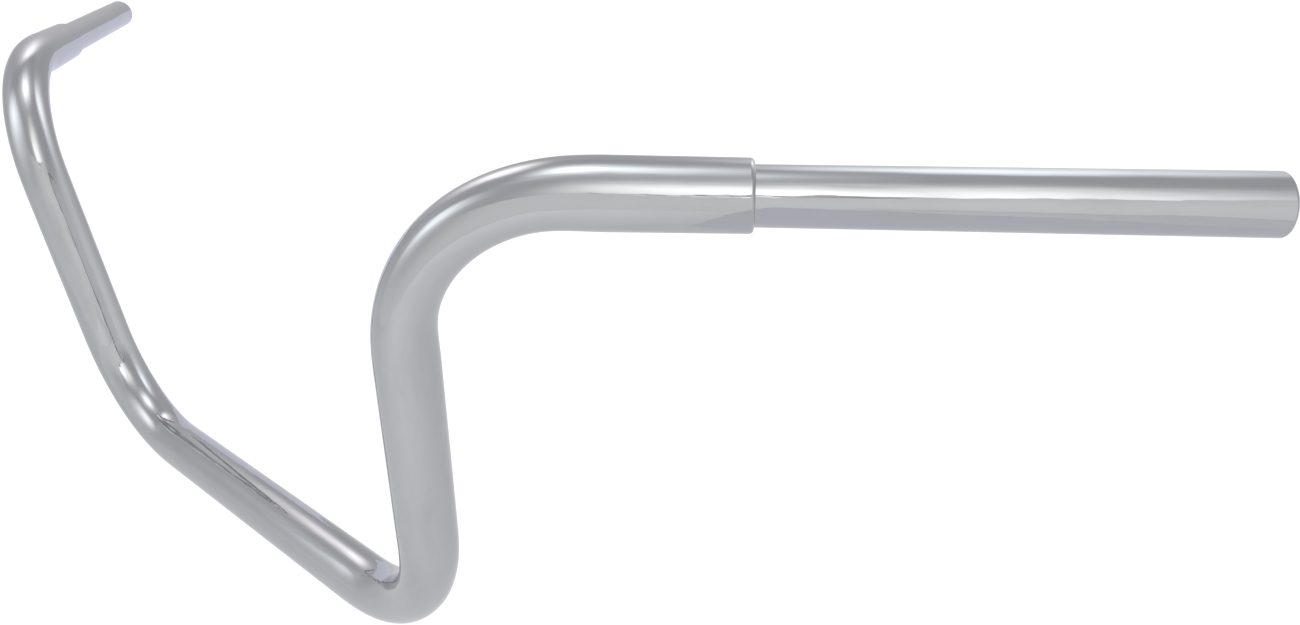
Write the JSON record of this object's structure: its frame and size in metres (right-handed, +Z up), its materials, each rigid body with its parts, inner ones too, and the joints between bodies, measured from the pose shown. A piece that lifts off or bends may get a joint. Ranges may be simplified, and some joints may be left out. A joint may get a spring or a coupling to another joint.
{
  "type": "motorcycle handlebar",
  "caption": "Mid-rise motorcycle handlebar: one thick chromed tube bent up, out and back on each side, with thinner straight tubes let into its ends for the grips.",
  "frame": {"origin": "on the tube's axis, in the middle of the straight section that the risers clamp", "axes": "+X along the clamp section to the rider's right, +Y forwards, +Z up with the grips level"},
  "size_m": [1.027, 0.221, 0.3048],
  "materials": {
    "chrome": "bright chrome plate on polished steel tube",
    "chrome_grip": "bright chrome plate on polished steel tube",
    "braze": "silver-brass braze, mostly hidden in the joint, dulled by the plating",
    "weld": "steel weld ground flush and plated over with the tube"
  },
  "bodies": {
    "root": {"main_tube": "chrome", "left_grip_tube": "chrome_grip", "right_grip_tube": "chrome_grip", "left_seal_braze": "braze", "right_seal_braze": "braze", "left_plug_welds": "weld", "right_plug_welds": "weld"}
  },
  "joints": []
}
